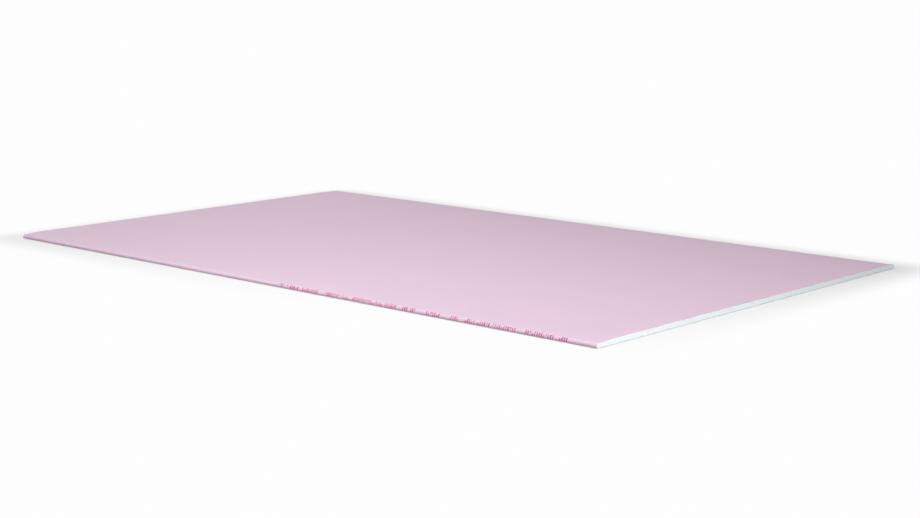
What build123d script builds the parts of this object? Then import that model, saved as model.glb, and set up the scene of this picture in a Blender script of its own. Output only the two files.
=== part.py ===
from build123d import *
import math
import os

# Gypsum board, one solid, lying on its back with its face up.
# X runs along the length, Y across the width and Z up from the back face.

# The board as sold, in millimetres
sheet_length = 2000.0  # between the two square-cut ends
sheet_width = 1200.0  # over the noses of the two long edges
sheet_thickness = 12.5  # in the field, clear of the tapers

# Taper: the face falls away towards each long edge, to make room for jointing tape and filler
taper_width = 60.0  # from the long edge in to the line where the level face breaks
taper_depth = 2.0  # fall of the face, measured at the long edge
taper_ease_width = 24.0  # band over which the level face turns into the slope

# Nose: each long edge is rounded over from the face side and stays nearly square at the back
nose_land = 0.9  # upright flat left between the round and the back corner
back_corner_radius = 1.0  # the fold of the paper round the back corner

# Sizes that follow from the ones above
half_length = sheet_length / 2
half_width = sheet_width / 2
break_line = half_width - taper_width
edge_thickness = sheet_thickness - taper_depth
taper_angle = math.atan2(taper_depth, taper_width)
taper_ease_radius = taper_ease_width / 2 / math.tan(taper_angle / 2)
# The round turns from the slope of the taper to upright and takes up the edge that the flat and the corner leave.
nose_turn = math.pi / 2 - taper_angle
nose_height = edge_thickness - nose_land - back_corner_radius
nose_radius = nose_height / math.tan(nose_turn / 2)


def board_section():
    """Cross-section of the board: flat back, level face, two tapers and two noses rounded from the face side."""
    with BuildSketch(Plane.YZ) as section:
        with BuildLine():
            Polyline(
                (-half_width, 0),
                (half_width, 0),
                (half_width, edge_thickness),
                (break_line, sheet_thickness),
                (-break_line, sheet_thickness),
                (-half_width, edge_thickness),
                close=True,
            )
        make_face()
        # The two highest corners are the break lines between the level face and the tapers.
        break_corners = section.vertices().sort_by(Axis.Y)[-2:]
        fillet(break_corners, radius=taper_ease_radius)
        # The lowest corners are those of the back. Above them, the corners furthest out become the noses.
        back_corners = section.vertices().group_by(Axis.Y)[0]
        fillet(back_corners, radius=back_corner_radius)
        columns = section.vertices().group_by(Axis.X)
        nose_corners = [column.sort_by(Axis.Y)[-1] for column in (columns[0], columns[-1])]
        fillet(nose_corners, radius=nose_radius)
    return section.sketch


def drywall_sheet():
    """The section carried along the length, half to either side of the middle."""
    return extrude(board_section(), amount=half_length, both=True)


os.makedirs("parts", exist_ok=True)
export_step(drywall_sheet(), "parts/drywall_sheet.step")
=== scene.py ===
import math

import bpy
import numpy as np
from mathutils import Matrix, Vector


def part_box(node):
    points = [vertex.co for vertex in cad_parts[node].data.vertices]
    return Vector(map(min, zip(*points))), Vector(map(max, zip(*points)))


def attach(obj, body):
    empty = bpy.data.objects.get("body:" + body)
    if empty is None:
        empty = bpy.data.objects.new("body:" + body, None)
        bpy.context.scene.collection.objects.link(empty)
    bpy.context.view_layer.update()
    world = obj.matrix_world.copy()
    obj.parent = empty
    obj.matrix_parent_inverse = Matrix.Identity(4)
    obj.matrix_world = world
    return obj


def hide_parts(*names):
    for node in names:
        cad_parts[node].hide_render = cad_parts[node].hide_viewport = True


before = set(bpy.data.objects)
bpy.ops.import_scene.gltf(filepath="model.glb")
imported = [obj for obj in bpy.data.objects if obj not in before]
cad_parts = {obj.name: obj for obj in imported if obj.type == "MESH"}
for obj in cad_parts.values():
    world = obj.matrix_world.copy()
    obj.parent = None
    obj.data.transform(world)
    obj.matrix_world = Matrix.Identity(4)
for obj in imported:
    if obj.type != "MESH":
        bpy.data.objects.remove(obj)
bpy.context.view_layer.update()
boardLow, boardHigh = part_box("drywall_sheet")
print("frame loaded, board", [round(v, 4) for v in boardHigh - boardLow])

# Sizes that all the pieces share, in metres. Length, width and thickness come from the frame.
board = {
    "halfLength": (boardHigh.x - boardLow.x) / 2,
    "halfWidth": (boardHigh.y - boardLow.y) / 2,
    "thickness": boardHigh.z - boardLow.z,
    "taperWidth": 0.060,   # from the long edge in to the break line of the face
    "taperDepth": 0.002,   # fall of the face at the long edge
    "easeWidth": 0.024,    # band in which the face turns down into the taper
    "noseLand": 0.0009,    # upright flat between the round of the nose and the back corner
    "backCorner": 0.0010,  # radius of the back corner
    "facePaper": 0.00042,  # thickness of the pink paper
    "backPaper": 0.00036,  # thickness of the grey paper
    "slack": 0.00003,      # air left between one layer and the next
    "sharpAngle": 60,      # degrees, past which an edge of a mesh stays sharp
}


# Shader maths

class Wire:
    # One output socket. Plain operators on wires and numbers add Math nodes to the same tree.
    def __init__(self, tree, socket):
        self.tree = tree
        self.socket = socket

    def node(self, kind, settings=None, sockets=None, out=0):
        return addNode(self.tree, kind, settings, sockets, out)

    def also(self, out):
        return Wire(self.tree, self.socket.node.outputs[out])   # another output of the same node

    def maths(self, operation, *values):
        return self.node("ShaderNodeMath", {"operation": operation}, dict(enumerate(values)))

    def __add__(self, other):
        return self.maths("ADD", self, other)

    def __radd__(self, other):
        return self.maths("ADD", other, self)

    def __sub__(self, other):
        return self.maths("SUBTRACT", self, other)

    def __rsub__(self, other):
        return self.maths("SUBTRACT", other, self)

    def __mul__(self, other):
        return self.maths("MULTIPLY", self, other)

    def __rmul__(self, other):
        return self.maths("MULTIPLY", other, self)

    def __lt__(self, other):
        return self.maths("LESS_THAN", self, other)

    def __gt__(self, other):
        return self.maths("GREATER_THAN", self, other)

    def __abs__(self):
        return self.maths("ABSOLUTE", self)


def addNode(tree, kind, settings=None, sockets=None, out=0):
    # Any node: its settings first, then each socket gets its link or its value
    made = tree.nodes.new(kind)
    for name, value in (settings or {}).items():
        setattr(made, name, value)
    for name, value in (sockets or {}).items():
        if isinstance(value, Wire):
            tree.links.new(value.socket, made.inputs[name])
        else:
            made.inputs[name].default_value = value
    return Wire(tree, made.outputs[out]) if made.outputs else made


def rgb(red, green, blue):
    return (red, green, blue, 1.0)


def mixed(factor, first, second):
    # Colour blend from the first to the second, each a colour or a wire, by a wire
    settings = {"data_type": "RGBA", "blend_type": "MIX", "clamp_factor": True}
    sockets = {0: factor, 6: first, 7: second}   # by number, as the node has several sockets of one name
    return factor.node("ShaderNodeMix", settings, sockets, out=2)


def stepUp(value, low, high):
    # 0 below low, 1 above high, with soft ends between
    settings = {"interpolation_type": "SMOOTHSTEP"}
    sockets = {"Value": value, "From Min": low, "From Max": high, "To Min": 0.0, "To Max": 1.0}
    return value.node("ShaderNodeMapRange", settings, sockets)


def line(value, middle, half):
    # 1 where the value is at its middle, 0 half a width away on either side
    return 1 - stepUp(abs(value - middle), 0.0, half)


# A pattern is a small dictionary among its piece's values. Its repeats are for a metre along the board, and
# for a metre across or through it. It comes in between its two noise levels, and its strength, dulls and
# raises are what it brings to the colour, the roughness and the height.
patterns = {
    "middle": 0.5,           # the level that noise wavers about
    "plainRoughness": 0.5,   # of a noise that names none
    "smallestDot": 0.35,     # share of the largest dot's radius
    "solidDot": 0.5,         # share of a dot's radius that is full
}


def shown(value, pattern):
    # A pattern's mask times its strength. Noise first goes through the pattern's levels.
    mask = stepUp(value, *pattern["levels"]) if "levels" in pattern else value
    return mask * pattern["strength"]


def dulled(value, pattern):
    # What noise adds to the roughness above its middle and takes off below it
    return (value - patterns["middle"]) * pattern["dulls"]


def raised(value, pattern):
    # What a pattern adds to the height
    return value * pattern["raises"]


class Finish:
    # A new material with its shader, its place on the object, and the patterns that the finishes share
    def __init__(self, name):
        self.material = bpy.data.materials.new(name)
        self.material.use_nodes = True
        self.tree = self.material.node_tree
        self.tree.nodes.clear()
        self.place = self.node("ShaderNodeTexCoord", out="Object")

    def node(self, kind, settings=None, sockets=None, out=0):
        return addNode(self.tree, kind, settings, sockets, out)

    def axes(self):
        along = self.node("ShaderNodeSeparateXYZ", sockets={0: self.place}, out="X")
        return along, along.also("Y")

    def stretched(self, pattern):
        # Object place times the repeats, moved by the shift
        along, across = pattern["repeats"]
        shift = pattern.get("shift", 0.0)
        sockets = {"Vector": self.place, "Scale": (along, across, across), "Location": (shift, shift, shift)}
        return self.node("ShaderNodeMapping", {"vector_type": "POINT"}, sockets)

    def clouds(self, pattern):
        # Soft noise between 0 and 1
        sockets = {"Vector": self.stretched(pattern), "Scale": 1.0, "Detail": pattern["detail"],
                   "Roughness": pattern.get("roughness", patterns["plainRoughness"])}
        return self.node("ShaderNodeTexNoise", {"noise_dimensions": "3D"}, sockets, out="Fac")

    def fibres(self, pattern):
        # Thin winding lines, where clouds come within half a width of their middle level
        return line(self.clouds(pattern), patterns["middle"], pattern["half"])

    def dots(self, pattern):
        # Round dots in the middles of random cells. A share of the cells has one, and each has its own
        # radius, up to the pattern's reach.
        sockets = {"Vector": self.stretched(pattern), "Scale": 1.0}
        away = self.node("ShaderNodeTexVoronoi", {"feature": "F1"}, sockets, out="Distance")
        chance = self.node("ShaderNodeSeparateColor", sockets={0: away.also("Color")}, out="Red")
        smallest = patterns["smallestDot"]
        radius = pattern["reach"] * (smallest + (1 - smallest) * chance.also("Green"))
        return (1 - stepUp(away, radius * patterns["solidDot"], radius)) * (chance < pattern["share"])

    def bump(self, height, depth):
        sockets = {"Strength": 1.0, "Distance": depth, "Height": height}
        return self.node("ShaderNodeBump", sockets=sockets, out="Normal")

    def done(self, colour, roughness, height, piece):
        # The shader: bump depth and gloss come from the piece's values
        sockets = {"Base Color": colour, "Roughness": roughness, "Specular IOR Level": piece["specular"],
                   "Normal": self.bump(height, piece["bumpDepth"])}
        shader = self.node("ShaderNodeBsdfPrincipled", sockets=sockets)
        self.node("ShaderNodeOutputMaterial", sockets={"Surface": shader})
        return self.material


# Shapes

def sectionWalk(inset, flapReach, flapDrop, counts):
    # Half the outline of the board, from the middle of the face out over the taper, round the nose and in
    # under it. It is walked by arc length: each stretch has a length, and an angle through which its outward
    # normal leans over. A step that turns by an angle has a chord of sin(half turn) / (half turn) times its
    # length, so arcs are exact. Last, every point moves inwards along its normal by the inset.
    lean = math.atan2(board["taperDepth"], board["taperWidth"])
    ease = board["easeWidth"] / 2
    edge = board["thickness"] - board["taperDepth"]
    tuck = edge - board["noseLand"] - board["backCorner"]   # from the nose's upper corner to its round's ends
    nose = tuck / math.tan((math.pi / 2 - lean) / 2)
    corner = board["backCorner"] - flapDrop
    slope = math.hypot(board["taperWidth"], board["taperDepth"])
    lengths = [
        board["halfWidth"] - board["taperWidth"] - ease,     # level face
        ease / math.tan(lean / 2) * lean,                    # eased break line
        slope - ease - tuck,                                 # taper
        nose * (math.pi / 2 - lean),                         # round of the nose
        board["noseLand"],                                   # upright flat
        corner * math.pi / 2,                                # back corner
        flapReach - corner,                                  # flap turned in under the back
    ]
    knots = np.concatenate(([0.0], np.cumsum(lengths)))
    leans = np.array([0, 0, lean, lean, math.pi / 2, math.pi / 2, math.pi, math.pi])
    stretches = [np.linspace(a, b, n, endpoint=False) for a, b, n in zip(knots[:-1], knots[1:], counts)]
    arc = np.concatenate(stretches + [knots[-1:]])
    turn = np.interp(arc, knots, leans)
    chord = np.diff(arc) * np.sinc(np.diff(turn) / 2 / math.pi)
    heading = (turn[:-1] + turn[1:]) / 2
    across = np.concatenate(([0.0], np.cumsum(chord * np.cos(heading)))) - inset * np.sin(turn)
    fall = np.concatenate(([0.0], np.cumsum(chord * np.sin(heading)))) + inset * np.cos(turn)
    return across, board["thickness"] - fall, arc - knots[3]   # arc counts from the start of the nose's round


def bothSides(across, *others):
    # Half an outline and its mirror image as one walk. Only the places across change sign.
    walk = np.concatenate((-across[:0:-1], across))
    return [walk] + [np.concatenate((other[:0:-1], other)) for other in others]


def smoothNoise(count, spacing, rng):
    # Random levels between 0 and 1 at every few points, joined by cosine curves
    levels = rng.random(count // spacing + 3)   # a few to spare past the end
    place = np.arange(count) / spacing
    base = place.astype(int)
    part = (1 - np.cos((place - base) * math.pi)) / 2
    return levels[base] * (1 - part) + levels[base + 1] * part


# What the cut does to both papers
paperEnds = {
    "fromEnd": [0.0, 0.0004, 0.0010, 0.0022, 0.0045, 0.012, 0.030],   # stations in from each cut end
    "fray": 0.0006,       # deepest loss of paper at the cut
    "frayDepth": 0.004,   # how far in from the cut the paper gives way
    "fraySpacing": 3,     # points of the outline from one random level to the next
    "frayPower": 2,       # makes deep losses rarer than shallow ones
}


def stationsAlong(steps):
    # Places along the length: those near the two cut ends, and even steps from the middle out to them
    reach = board["halfLength"] - np.array(paperEnds["fromEnd"])
    side = np.concatenate((np.linspace(0, reach[-1], steps, endpoint=False), reach[::-1]))
    return np.concatenate((-side[:0:-1], side))


def paperShell(outer, inner, stations, seed):
    # A sheet of paper: its outline and the inner copy make one closed loop, which is carried along the
    # length. Point (i, j) is loop point j at station i. Close to an end, stations draw back by that loop
    # point's fray, which is smooth noise to a power.
    count = len(outer[0])
    rng = np.random.default_rng(seed)
    spacing, power = paperEnds["fraySpacing"], paperEnds["frayPower"]
    losses = [smoothNoise(count, spacing, rng) ** power for end in ("near", "far")]
    nearFray, farFray = (paperEnds["fray"] * np.concatenate((loss, loss[::-1])) for loss in losses)
    loopY = np.concatenate((outer[0], inner[0][::-1]))
    loopZ = np.concatenate((outer[1], inner[1][::-1]))
    grip = np.clip(1 - (board["halfLength"] - np.abs(stations)) / paperEnds["frayDepth"], 0, 1)[:, None]
    x = stations[:, None] - grip * np.where(stations[:, None] > 0, nearFray, -farFray)
    points = np.stack((x, np.broadcast_to(loopY, x.shape), np.broadcast_to(loopZ, x.shape)), axis=-1)
    index = np.arange(x.size).reshape(x.shape)
    ahead = np.roll(index, -1, axis=1)
    skin = np.stack((index[:-1], index[1:], ahead[1:], ahead[:-1]), axis=-1).reshape(-1, 4)
    outside, inside = index[:, :count], index[:, :count - 1:-1]
    nearCut = np.stack((outside[-1, :-1], inside[-1, :-1], inside[-1, 1:], outside[-1, 1:]), axis=-1)
    farCut = np.stack((outside[0, :-1], outside[0, 1:], inside[0, 1:], inside[0, :-1]), axis=-1)
    return points.reshape(-1, 3), np.concatenate((skin, nearCut, farCut))


def newPiece(name, points, faces, material, attributes=None):
    mesh = bpy.data.meshes.new(name)
    mesh.from_pydata(points.tolist(), [], faces.tolist())
    mesh.polygons.foreach_set("use_smooth", np.ones(len(mesh.polygons), bool))
    mesh.set_sharp_from_angle(angle=math.radians(board["sharpAngle"]))
    for label, values in (attributes or {}).items():
        mesh.attributes.new(label, "FLOAT", "POINT").data.foreach_set("value", values.astype(np.float32))
    mesh.materials.append(material)
    piece = bpy.data.objects.new(name, mesh)
    bpy.context.scene.collection.objects.link(piece)
    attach(piece, "root")
    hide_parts("drywall_sheet")
    print("made", name, len(mesh.vertices), "points", len(mesh.polygons), "faces")


# Face paper

facePaper = {
    "counts": [200, 8, 22, 24, 2, 6, 10],   # points on each stretch of the half outline
    "flapReach": 0.026,                     # how far in under the back the paper is turned
    "steps": 16,                            # stations between the middle and those near an end
    "seed": 11,
    "pink": rgb(0.745, 0.557, 0.686),
    "rosy": rgb(0.758, 0.555, 0.682),
    "greyed": rgb(0.730, 0.554, 0.680),
    "nose": rgb(0.455, 0.312, 0.412),       # painted shade: the edge paper is drawn darker low on the edge
    "noseShadeFrom": (0.0070, 0.0145),           # arc over which the painted shade deepens
    "noseShadeTo": (0.0148, 0.0168),             # arc over which the painted shade gives way to plain pink again, on the flap
    "pale": rgb(0.820, 0.690, 0.780),       # rubbed fibres
    "deep": rgb(0.560, 0.380, 0.520),       # fibres that took more dye, and painted shade in the creases
    "speck": rgb(0.360, 0.240, 0.340),
    "dusted": rgb(0.830, 0.820, 0.835),     # gypsum left on the paper by the cut
    # broad and soft
    "patches": {"repeats": (5, 8), "detail": 3, "levels": (0.30, 0.70)},
    # rolled along the length
    "streaks": {"repeats": (0.5, 70), "shift": 3.1, "detail": 4, "roughness": 0.65, "levels": (0.35, 0.75),
                "strength": 0.60, "dulls": 0.16, "raises": 0.50},
    # clouds of pulp
    "mottle": {"repeats": (120, 170), "detail": 3, "roughness": 0.60, "levels": (0.45, 0.80),
               "strength": 0.26, "dulls": 0.10, "raises": 0.50},
    "paleFibres": {"repeats": (210, 380), "detail": 1, "half": 0.016, "strength": 0.36, "raises": 0.14},
    "deepFibres": {"repeats": (190, 340), "shift": 5.7, "detail": 1, "half": 0.010, "strength": 0.24,
                   "raises": -0.10},
    "specks": {"repeats": (130, 190), "share": 0.16, "reach": 0.16, "strength": 0.45},
    # marks of handling
    "rubs": {"repeats": (1.3, 24), "shift": 8.4, "detail": 4, "roughness": 0.60, "levels": (0.60, 0.78),
             "strength": 0.16},
    # two scored lines that the paper is folded along, by their arc; their darker colour is painted shade
    "creases": {"arcs": (0.0004, 0.0150), "half": 0.0004, "strength": 0.25, "raises": -0.90},
    # within its reach of the cut ends, in some of the patches
    "dust": {"reach": 0.007, "levels": (0.35, 0.65), "strength": 0.35, "dulls": 0.30},
    "roughness": 0.74,
    "specular": 0.3,
    "bumpDepth": 0.00012,
}

edgePrint = {
    "ink": rgb(0.480, 0.028, 0.140),
    "span": (0.055, 0.945),      # stretch of the front edge that is printed
    "pitch": 0.0060,             # from one bar to the next
    "inkShares": (0.38, 0.74),   # narrowest and widest bar, of the pitch
    "top": 0.0038,               # arc where the bars start
    "waist": 0.0086,             # arc where the short ones start or end
    "foot": 0.0136,              # arc where the bars end
    "startLow": 0.24,            # share of bars that start at the waist
    "endHigh": 0.18,             # share of bars that end there
    "groupRate": 0.17,           # how fast the groups change, for each bar
    "groupLevel": 0.43,          # noise below this leaves a gap
    "soft": 0.0003,              # blur of an ink edge
    "strength": 0.82,
    "evenInk": 0.80,             # share of the ink that is even
    "patchyInk": 0.40,           # share that follows the clouds of pulp
}


def printedBars(look, x, y, arc):
    # Plain ink bars on the front nose. A bar's index is floor(x / pitch). Slow noise of the index drops runs
    # of bars, which leaves groups and gaps. Random numbers of the index set how wide each bar is, and where
    # it starts and ends.
    place = x * (1 / edgePrint["pitch"])
    index = place.maths("FLOOR", place)
    slow = look.node("ShaderNodeTexNoise", {"noise_dimensions": "1D"},
                     {"W": index * edgePrint["groupRate"], "Scale": 1.0, "Detail": 1.0}, out="Fac")
    chance = look.node("ShaderNodeTexWhiteNoise", {"noise_dimensions": "1D"}, {"W": index}, out="Color")
    draw = look.node("ShaderNodeSeparateColor", sockets={0: chance}, out="Red")
    narrow, wide = edgePrint["inkShares"]
    half = (narrow + (wide - narrow) * draw) * 0.5
    waist, blur = edgePrint["waist"], edgePrint["soft"]
    top = edgePrint["top"] + (waist - edgePrint["top"]) * (draw.also("Green") < edgePrint["startLow"])
    foot = edgePrint["foot"] + (waist - edgePrint["foot"]) * (draw.also("Blue") < edgePrint["endHigh"])
    fromMiddle = abs(place - index - 0.5)
    bar = 1 - stepUp(fromMiddle, half - blur / edgePrint["pitch"], half)
    strip = stepUp(arc, top, top + blur) * (1 - stepUp(arc, foot - blur, foot))
    start, end = edgePrint["span"]
    within = (x > start) * (x < end) * (y < 0.0) * (slow > edgePrint["groupLevel"])
    return within * bar * strip


def facePaperFinish():
    look = Finish("face_paper")
    x, y = look.axes()
    arc = look.node("ShaderNodeAttribute", {"attribute_name": "edgeArc"}, out="Fac")
    patches = look.clouds(facePaper["patches"])
    streaks = look.clouds(facePaper["streaks"])
    mottle = look.clouds(facePaper["mottle"])
    paleFibres = look.fibres(facePaper["paleFibres"])
    deepFibres = look.fibres(facePaper["deepFibres"])
    specks = look.dots(facePaper["specks"])
    rubs = look.clouds(facePaper["rubs"])
    # mask of the painted shade along the bottom of the long edges
    low = stepUp(arc, *facePaper["noseShadeFrom"]) * (1 - stepUp(arc, *facePaper["noseShadeTo"]))
    folds = [line(arc, place, facePaper["creases"]["half"]) for place in facePaper["creases"]["arcs"]]
    creases = folds[0] + folds[1]
    ink = edgePrint["strength"] * (edgePrint["evenInk"] + edgePrint["patchyInk"] * mottle)
    dust = facePaper["dust"]
    fromMiddle = abs(x) + (mottle - patterns["middle"]) * dust["reach"]
    dusty = stepUp(fromMiddle, board["halfLength"] - dust["reach"], board["halfLength"])
    dusty = dusty * shown(patches, dust)
    colour = mixed(stepUp(patches, *facePaper["patches"]["levels"]), facePaper["greyed"], facePaper["rosy"])
    colour = mixed(shown(streaks, facePaper["streaks"]), colour, facePaper["pink"])
    # painted shade low on the edge
    colour = mixed(low, colour, facePaper["nose"])
    colour = mixed(shown(mottle, facePaper["mottle"]), colour, facePaper["pale"])
    colour = mixed(shown(paleFibres, facePaper["paleFibres"]), colour, facePaper["pale"])
    colour = mixed(shown(deepFibres, facePaper["deepFibres"]), colour, facePaper["deep"])
    colour = mixed(shown(specks, facePaper["specks"]), colour, facePaper["speck"])
    colour = mixed(shown(rubs, facePaper["rubs"]), colour, facePaper["pale"])
    # painted shade in the two creases
    colour = mixed(shown(creases, facePaper["creases"]), colour, facePaper["deep"])
    colour = mixed(printedBars(look, x, y, arc) * ink, colour, edgePrint["ink"])
    colour = mixed(dusty, colour, facePaper["dusted"])
    roughness = facePaper["roughness"] + dulled(streaks, facePaper["streaks"])
    roughness = roughness + dulled(mottle, facePaper["mottle"]) + dusty * dust["dulls"]
    height = raised(mottle, facePaper["mottle"]) + raised(streaks, facePaper["streaks"])
    height = height + raised(paleFibres, facePaper["paleFibres"])
    height = height + raised(deepFibres, facePaper["deepFibres"]) + raised(creases, facePaper["creases"])
    return look.done(colour, roughness, height, facePaper)


def makeFacePaper():
    # The outline and its copy one paper thickness further in, each mirrored and carried along the length
    fold = (facePaper["flapReach"], board["backPaper"] + board["slack"], facePaper["counts"])
    outer = bothSides(*sectionWalk(0.0, *fold))
    inner = bothSides(*sectionWalk(board["facePaper"], *fold))
    stations = stationsAlong(facePaper["steps"])
    points, faces = paperShell(outer, inner, stations, facePaper["seed"])
    arcs = np.tile(np.concatenate((outer[2], inner[2][::-1])), len(stations))
    newPiece("face_paper", points, faces, facePaperFinish(), {"edgeArc": arcs})


# Back paper

backPaper = {
    "edgeGap": 0.010,     # from the long edge in to the edge of this paper
    "columns": 401,
    "steps": 10,          # stations between the middle and those near an end
    "seed": 23,
    "grey": rgb(0.430, 0.385, 0.345),
    "brown": rgb(0.395, 0.340, 0.290),
    "fibre": rgb(0.540, 0.495, 0.450),
    "dark": rgb(0.250, 0.210, 0.180),
    "speck": rgb(0.150, 0.120, 0.100),
    "greyFrom": (0.38, 0.62),   # mean level of patches and mottle over which brown turns to grey
    "patches": {"repeats": (7, 10), "shift": 2.2, "detail": 3},
    "streaks": {"repeats": (0.6, 60), "shift": 1.3, "detail": 3, "roughness": 0.60, "levels": (0.45, 0.75),
                "strength": 0.25, "raises": 0.40},
    "mottle": {"repeats": (90, 130), "detail": 4, "roughness": 0.65, "dulls": 0.14, "raises": 0.60},
    "paleFibres": {"repeats": (180, 300), "detail": 1, "half": 0.020, "strength": 0.40, "raises": 0.20},
    "darkFibres": {"repeats": (160, 280), "shift": 4.9, "detail": 1, "half": 0.012, "strength": 0.30,
                   "raises": -0.10},
    "specks": {"repeats": (150, 210), "share": 0.30, "reach": 0.20, "strength": 0.60},
    "roughness": 0.84,
    "specular": 0.3,
    "bumpDepth": 0.00016,
}


def backPaperFinish():
    look = Finish("back_paper")
    patches = look.clouds(backPaper["patches"])
    streaks = look.clouds(backPaper["streaks"])
    mottle = look.clouds(backPaper["mottle"])
    paleFibres = look.fibres(backPaper["paleFibres"])
    darkFibres = look.fibres(backPaper["darkFibres"])
    specks = look.dots(backPaper["specks"])
    mean = (patches + mottle) * 0.5
    colour = mixed(stepUp(mean, *backPaper["greyFrom"]), backPaper["brown"], backPaper["grey"])
    colour = mixed(shown(streaks, backPaper["streaks"]), colour, backPaper["fibre"])
    colour = mixed(shown(paleFibres, backPaper["paleFibres"]), colour, backPaper["fibre"])
    colour = mixed(shown(darkFibres, backPaper["darkFibres"]), colour, backPaper["dark"])
    colour = mixed(shown(specks, backPaper["specks"]), colour, backPaper["speck"])
    roughness = backPaper["roughness"] + dulled(mottle, backPaper["mottle"])
    height = raised(mottle, backPaper["mottle"]) + raised(streaks, backPaper["streaks"])
    height = height + raised(paleFibres, backPaper["paleFibres"])
    height = height + raised(darkFibres, backPaper["darkFibres"])
    return look.done(colour, roughness, height, backPaper)


def makeBackPaper():
    # A flat strip, walked from +Y to -Y so that its outer side faces down
    reach = board["halfWidth"] - backPaper["edgeGap"]
    across = np.linspace(reach, -reach, backPaper["columns"])
    outer = (across, np.zeros_like(across))
    inner = (across, np.full_like(across, board["backPaper"]))
    points, faces = paperShell(outer, inner, stationsAlong(backPaper["steps"]), backPaper["seed"])
    newPiece("back_paper", points, faces, backPaperFinish())


# Gypsum core

gypsumCore = {
    "counts": [740, 12, 60, 24, 2, 6, 12],   # points on each stretch of the half outline
    "rows": 16,                     # of points through the thickness
    "seed": 37,
    "recess": 0.00025,              # the cut core lies this far behind the ends of the papers
    "pores": 800,                   # on each end
    "poreWidth": (0.0006, 0.0017),
    "poreHeight": (0.05, 0.14),     # shares of the thickness
    "poreDepth": (0.0001, 0.0009),
    "drag": 0.00012,                # marks that the knife leaves through the thickness
    "dragSpacing": 5,               # columns from one mark to the next
    "crumble": 0.00022,             # extra loss along the papers
    "crumblePower": 6,              # keeps that loss close to the papers
    "white": rgb(0.800, 0.852, 0.888),
    "warm": rgb(0.822, 0.858, 0.880),
    # darker grey for the grain, and painted shade in the pores
    "grainToneAndPoreShade": rgb(0.540, 0.605, 0.615),
    "fibre": rgb(0.890, 0.905, 0.895),
    "grain": {"repeats": (1500, 1500), "detail": 4, "roughness": 0.65, "levels": (0.50, 0.80),
              "strength": 0.35, "dulls": 0.10, "raises": 0.50},
    "patches": {"repeats": (60, 60), "detail": 4, "roughness": 0.55, "levels": (0.35, 0.65)},
    "smallPores": {"repeats": (1250, 1250), "share": 0.45, "reach": 0.34, "strength": 0.70},
    "largePores": {"repeats": (420, 420), "shift": 2.6, "share": 0.30, "reach": 0.30},
    # both kinds of pores, darkened with painted shade and sunk by the bump
    "holes": {"strength": 0.42, "raises": -1.00},
    # glass fibre
    "strands": {"repeats": (260, 260), "shift": 6.3, "detail": 0, "half": 0.010, "strength": 0.30},
    "roughness": 0.92,
    "specular": 0.2,
    "bumpDepth": 0.00018,
}


def gypsumFinish():
    look = Finish("gypsum")
    grain = look.clouds(gypsumCore["grain"])
    patches = look.clouds(gypsumCore["patches"])
    strands = look.fibres(gypsumCore["strands"])
    small = shown(look.dots(gypsumCore["smallPores"]), gypsumCore["smallPores"])
    holes = small.maths("MAXIMUM", small, look.dots(gypsumCore["largePores"]))
    colour = mixed(stepUp(patches, *gypsumCore["patches"]["levels"]), gypsumCore["white"], gypsumCore["warm"])
    colour = mixed(shown(grain, gypsumCore["grain"]), colour, gypsumCore["grainToneAndPoreShade"])
    colour = mixed(shown(strands, gypsumCore["strands"]), colour, gypsumCore["fibre"])
    # painted shade in the pores
    colour = mixed(shown(holes, gypsumCore["holes"]), colour, gypsumCore["grainToneAndPoreShade"])
    roughness = gypsumCore["roughness"] + dulled(grain, gypsumCore["grain"])
    height = raised(grain, gypsumCore["grain"]) + raised(holes, gypsumCore["holes"])
    return look.done(colour, roughness, height, gypsumCore)


def coreSection():
    # Columns from one nose to the other, each with its lowest and highest point between the papers
    floorLevel = board["backPaper"] + board["slack"]
    fold = (facePaper["flapReach"], floorLevel, gypsumCore["counts"])
    across, height = sectionWalk(board["facePaper"] + board["slack"], *fold)[:2]
    topEnd = sum(gypsumCore["counts"][:4])            # end of the nose's round
    lowStart = sum(gypsumCore["counts"][:5])          # start of the back corner
    column, top = across[:topEnd + 1], height[:topEnd + 1]
    lowY, lowZ = across[lowStart:], height[lowStart:]
    bottom = np.interp(column, lowY[::-1], lowZ[::-1])
    bottom = np.where(column < lowY[-1], floorLevel, bottom)
    return bothSides(column, bottom, top)


def cutFace(column, share, rng):
    # Depth of the cut face. Each pore is a bell across the width times a bell through the thickness, so the
    # sum of all pores is one matrix product of (columns, pores) and (pores, rows). Knife marks and a worn
    # rim come on top.
    count = gypsumCore["pores"]
    centreY = rng.uniform(column[0], column[-1], count)
    centreZ = rng.uniform(0.0, 1.0, count)
    width = rng.uniform(*gypsumCore["poreWidth"], count)
    tall = rng.uniform(*gypsumCore["poreHeight"], count)
    depth = rng.uniform(*gypsumCore["poreDepth"], count)
    overWidth = np.exp(-((column[:, None] - centreY) / width) ** 2)
    overHeight = np.exp(-((share[None, :] - centreZ[:, None]) / tall[:, None]) ** 2)
    drag = smoothNoise(len(column), gypsumCore["dragSpacing"], rng)[:, None] * gypsumCore["drag"]
    worn = smoothNoise(len(column), gypsumCore["dragSpacing"], rng)[:, None] * gypsumCore["crumble"]
    rim = np.abs(2 * share - 1)[None, :] ** gypsumCore["crumblePower"]
    return overWidth @ (depth[:, None] * overHeight) + drag + worn * rim


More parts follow.
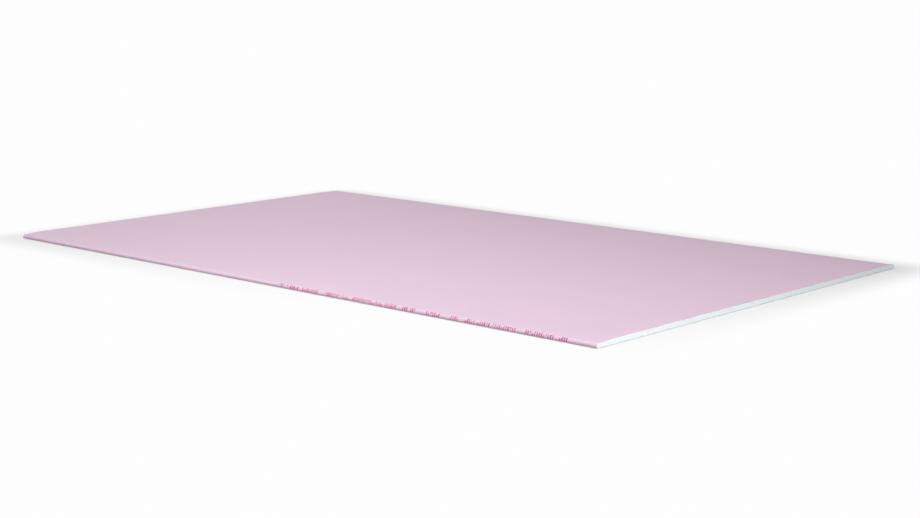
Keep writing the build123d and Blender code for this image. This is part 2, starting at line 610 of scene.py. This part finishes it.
def makeGypsumCore():
    # Two cut faces, each a grid of columns and rows sunk by its pores, and a skin between their rims
    column, bottom, top = coreSection()
    share = np.linspace(0, 1, gypsumCore["rows"])
    z = bottom[:, None] + (top - bottom)[:, None] * share
    y = np.broadcast_to(column[:, None], z.shape)
    rng = np.random.default_rng(gypsumCore["seed"])
    flat = board["halfLength"] - gypsumCore["recess"]
    near = np.stack((flat - cutFace(column, share, rng), y, z), axis=-1)
    far = np.stack((cutFace(column, share, rng) - flat, y, z), axis=-1)
    index = np.arange(z.size).reshape(z.shape)
    cells = (index[:-1, :-1], index[1:, :-1], index[1:, 1:], index[:-1, 1:])
    grid = np.stack(cells, axis=-1).reshape(-1, 4)
    rim = np.concatenate((index[:-1, 0], index[-1, :-1], index[:0:-1, -1], index[0, :0:-1]))
    skin = np.stack((rim, rim + z.size, np.roll(rim, -1) + z.size, np.roll(rim, -1)), axis=-1)
    points = np.concatenate((near.reshape(-1, 3), far.reshape(-1, 3)))
    faces = np.concatenate((grid, grid[:, ::-1] + z.size, skin))
    newPiece("gypsum_core", points, faces, gypsumFinish())


makeFacePaper()
makeBackPaper()
makeGypsumCore()


# Camera, floor and light

view = {
    "azimuth": 42.4,            # degrees, from the front towards the near end
    "elevation": 10.1,
    "distance": 4.46,
    "lens": 67.9,               # millimetres
    "aim": (0.11, -0.03, 0.0),
}


def setCamera():
    turn, rise = math.radians(view["azimuth"]), math.radians(view["elevation"])
    back = Vector((math.sin(turn) * math.cos(rise), -math.cos(turn) * math.cos(rise), math.sin(rise)))
    lens = bpy.data.cameras.new("camera")
    lens.lens = view["lens"]
    camera = bpy.data.objects.new("camera", lens)
    camera.location = Vector(view["aim"]) + back * view["distance"]
    camera.rotation_euler = (-back).to_track_quat("-Z", "Y").to_euler()
    bpy.context.scene.collection.objects.link(camera)
    bpy.context.scene.camera = camera


floorLook = {
    "half": 60.0,
    "drop": 0.0002,                        # keeps the floor clear of the board's back
    "pale": rgb(0.93, 0.93, 0.93),
    "bounce": rgb(0.30, 0.30, 0.30),       # what the floor sends back up to the board
    "white": rgb(0.985, 0.985, 0.985),
    "fade": (0.01, 0.14),                  # metres from the board over which the floor turns plain white
    "nearWhite": 0.30,                     # share of plain white beside the board
}


def makeFloor():
    half, level = floorLook["half"], -floorLook["drop"]
    corners = [(-half, -half, level), (half, -half, level), (half, half, level), (-half, half, level)]
    mesh = bpy.data.meshes.new("floor")
    mesh.from_pydata(corners, [], [(0, 1, 2, 3)])
    floor = bpy.data.objects.new("floor", mesh)
    bpy.context.scene.collection.objects.link(floor)
    look = Finish("floor")
    x, y = look.axes()
    # Distance from the board's outline: the length of what lies beyond it along and across
    beyond = [place.maths("MAXIMUM", abs(place) - reach, 0.0) for place, reach in
              ((x, board["halfLength"]), (y, board["halfWidth"]))]
    away = x.maths("SQRT", beyond[0] * beyond[0] + beyond[1] * beyond[1])
    near = floorLook["nearWhite"]
    rays = look.node("ShaderNodeLightPath", out="Is Camera Ray")
    seen = rays + rays.also("Is Glossy Ray") + rays.also("Is Transmission Ray")
    white = seen * (near + (1 - near) * stepUp(away, *floorLook["fade"]))
    tone = mixed(seen, floorLook["bounce"], floorLook["pale"])
    paint = look.node("ShaderNodeBsdfDiffuse", sockets={"Color": tone})
    glow = look.node("ShaderNodeEmission", sockets={"Color": floorLook["white"], "Strength": 1.0})
    shader = look.node("ShaderNodeMixShader", sockets={0: white, 1: paint, 2: glow})
    look.node("ShaderNodeOutputMaterial", sockets={"Surface": shader})
    mesh.materials.append(look.material)


# Square soft lamps: where each stands, what it points at, its side in metres and its watts
lamps = [
    {"name": "overhead", "at": (0.48, -0.80, 2.30), "to": (0.44, -1.47, 0.0), "size": 1.6, "power": 35.4},
    {"name": "endSide", "at": (2.90, -0.84, 0.36), "to": (1.0, -0.50, 0.0), "size": 0.7, "power": 34.1},
    {"name": "front", "at": (0.0, -3.10, 0.50), "to": (-0.20, -0.60, 0.0), "size": 1.0, "power": 37.3},
    {"name": "rear", "at": (-1.90, 1.30, 1.70), "to": (-0.70, 0.30, 0.0), "size": 1.0, "power": 12.6},
    {"name": "farEnd", "at": (-3.20, 0.20, 0.30), "to": (-1.0, 0.0, 0.0), "size": 0.6, "power": 15.0},
]
worldLight = 0.25   # strength of the light from all around


def setLight():
    for lamp in lamps:
        data = bpy.data.lights.new(lamp["name"], "AREA")
        data.size = lamp["size"]
        data.energy = lamp["power"]
        light = bpy.data.objects.new(lamp["name"], data)
        light.location = lamp["at"]
        light.rotation_euler = (Vector(lamp["to"]) - Vector(lamp["at"])).to_track_quat("-Z", "Y").to_euler()
        light.visible_camera = False
        bpy.context.scene.collection.objects.link(light)
    world = bpy.data.worlds.new("studio")
    world.use_nodes = True
    tree = world.node_tree
    tree.nodes.clear()
    rays = addNode(tree, "ShaderNodeLightPath", out="Is Camera Ray")
    seen = rays + rays.also("Is Glossy Ray") + rays.also("Is Transmission Ray")
    strength = worldLight + seen * (1.0 - worldLight)
    sockets = {"Color": floorLook["white"], "Strength": strength}
    background = addNode(tree, "ShaderNodeBackground", sockets=sockets)
    addNode(tree, "ShaderNodeOutputWorld", sockets={"Surface": background})
    bpy.context.scene.world = world
    bpy.context.scene.view_settings.view_transform = "Standard"


setCamera()
makeFloor()
setLight()
print("camera, floor and light set")
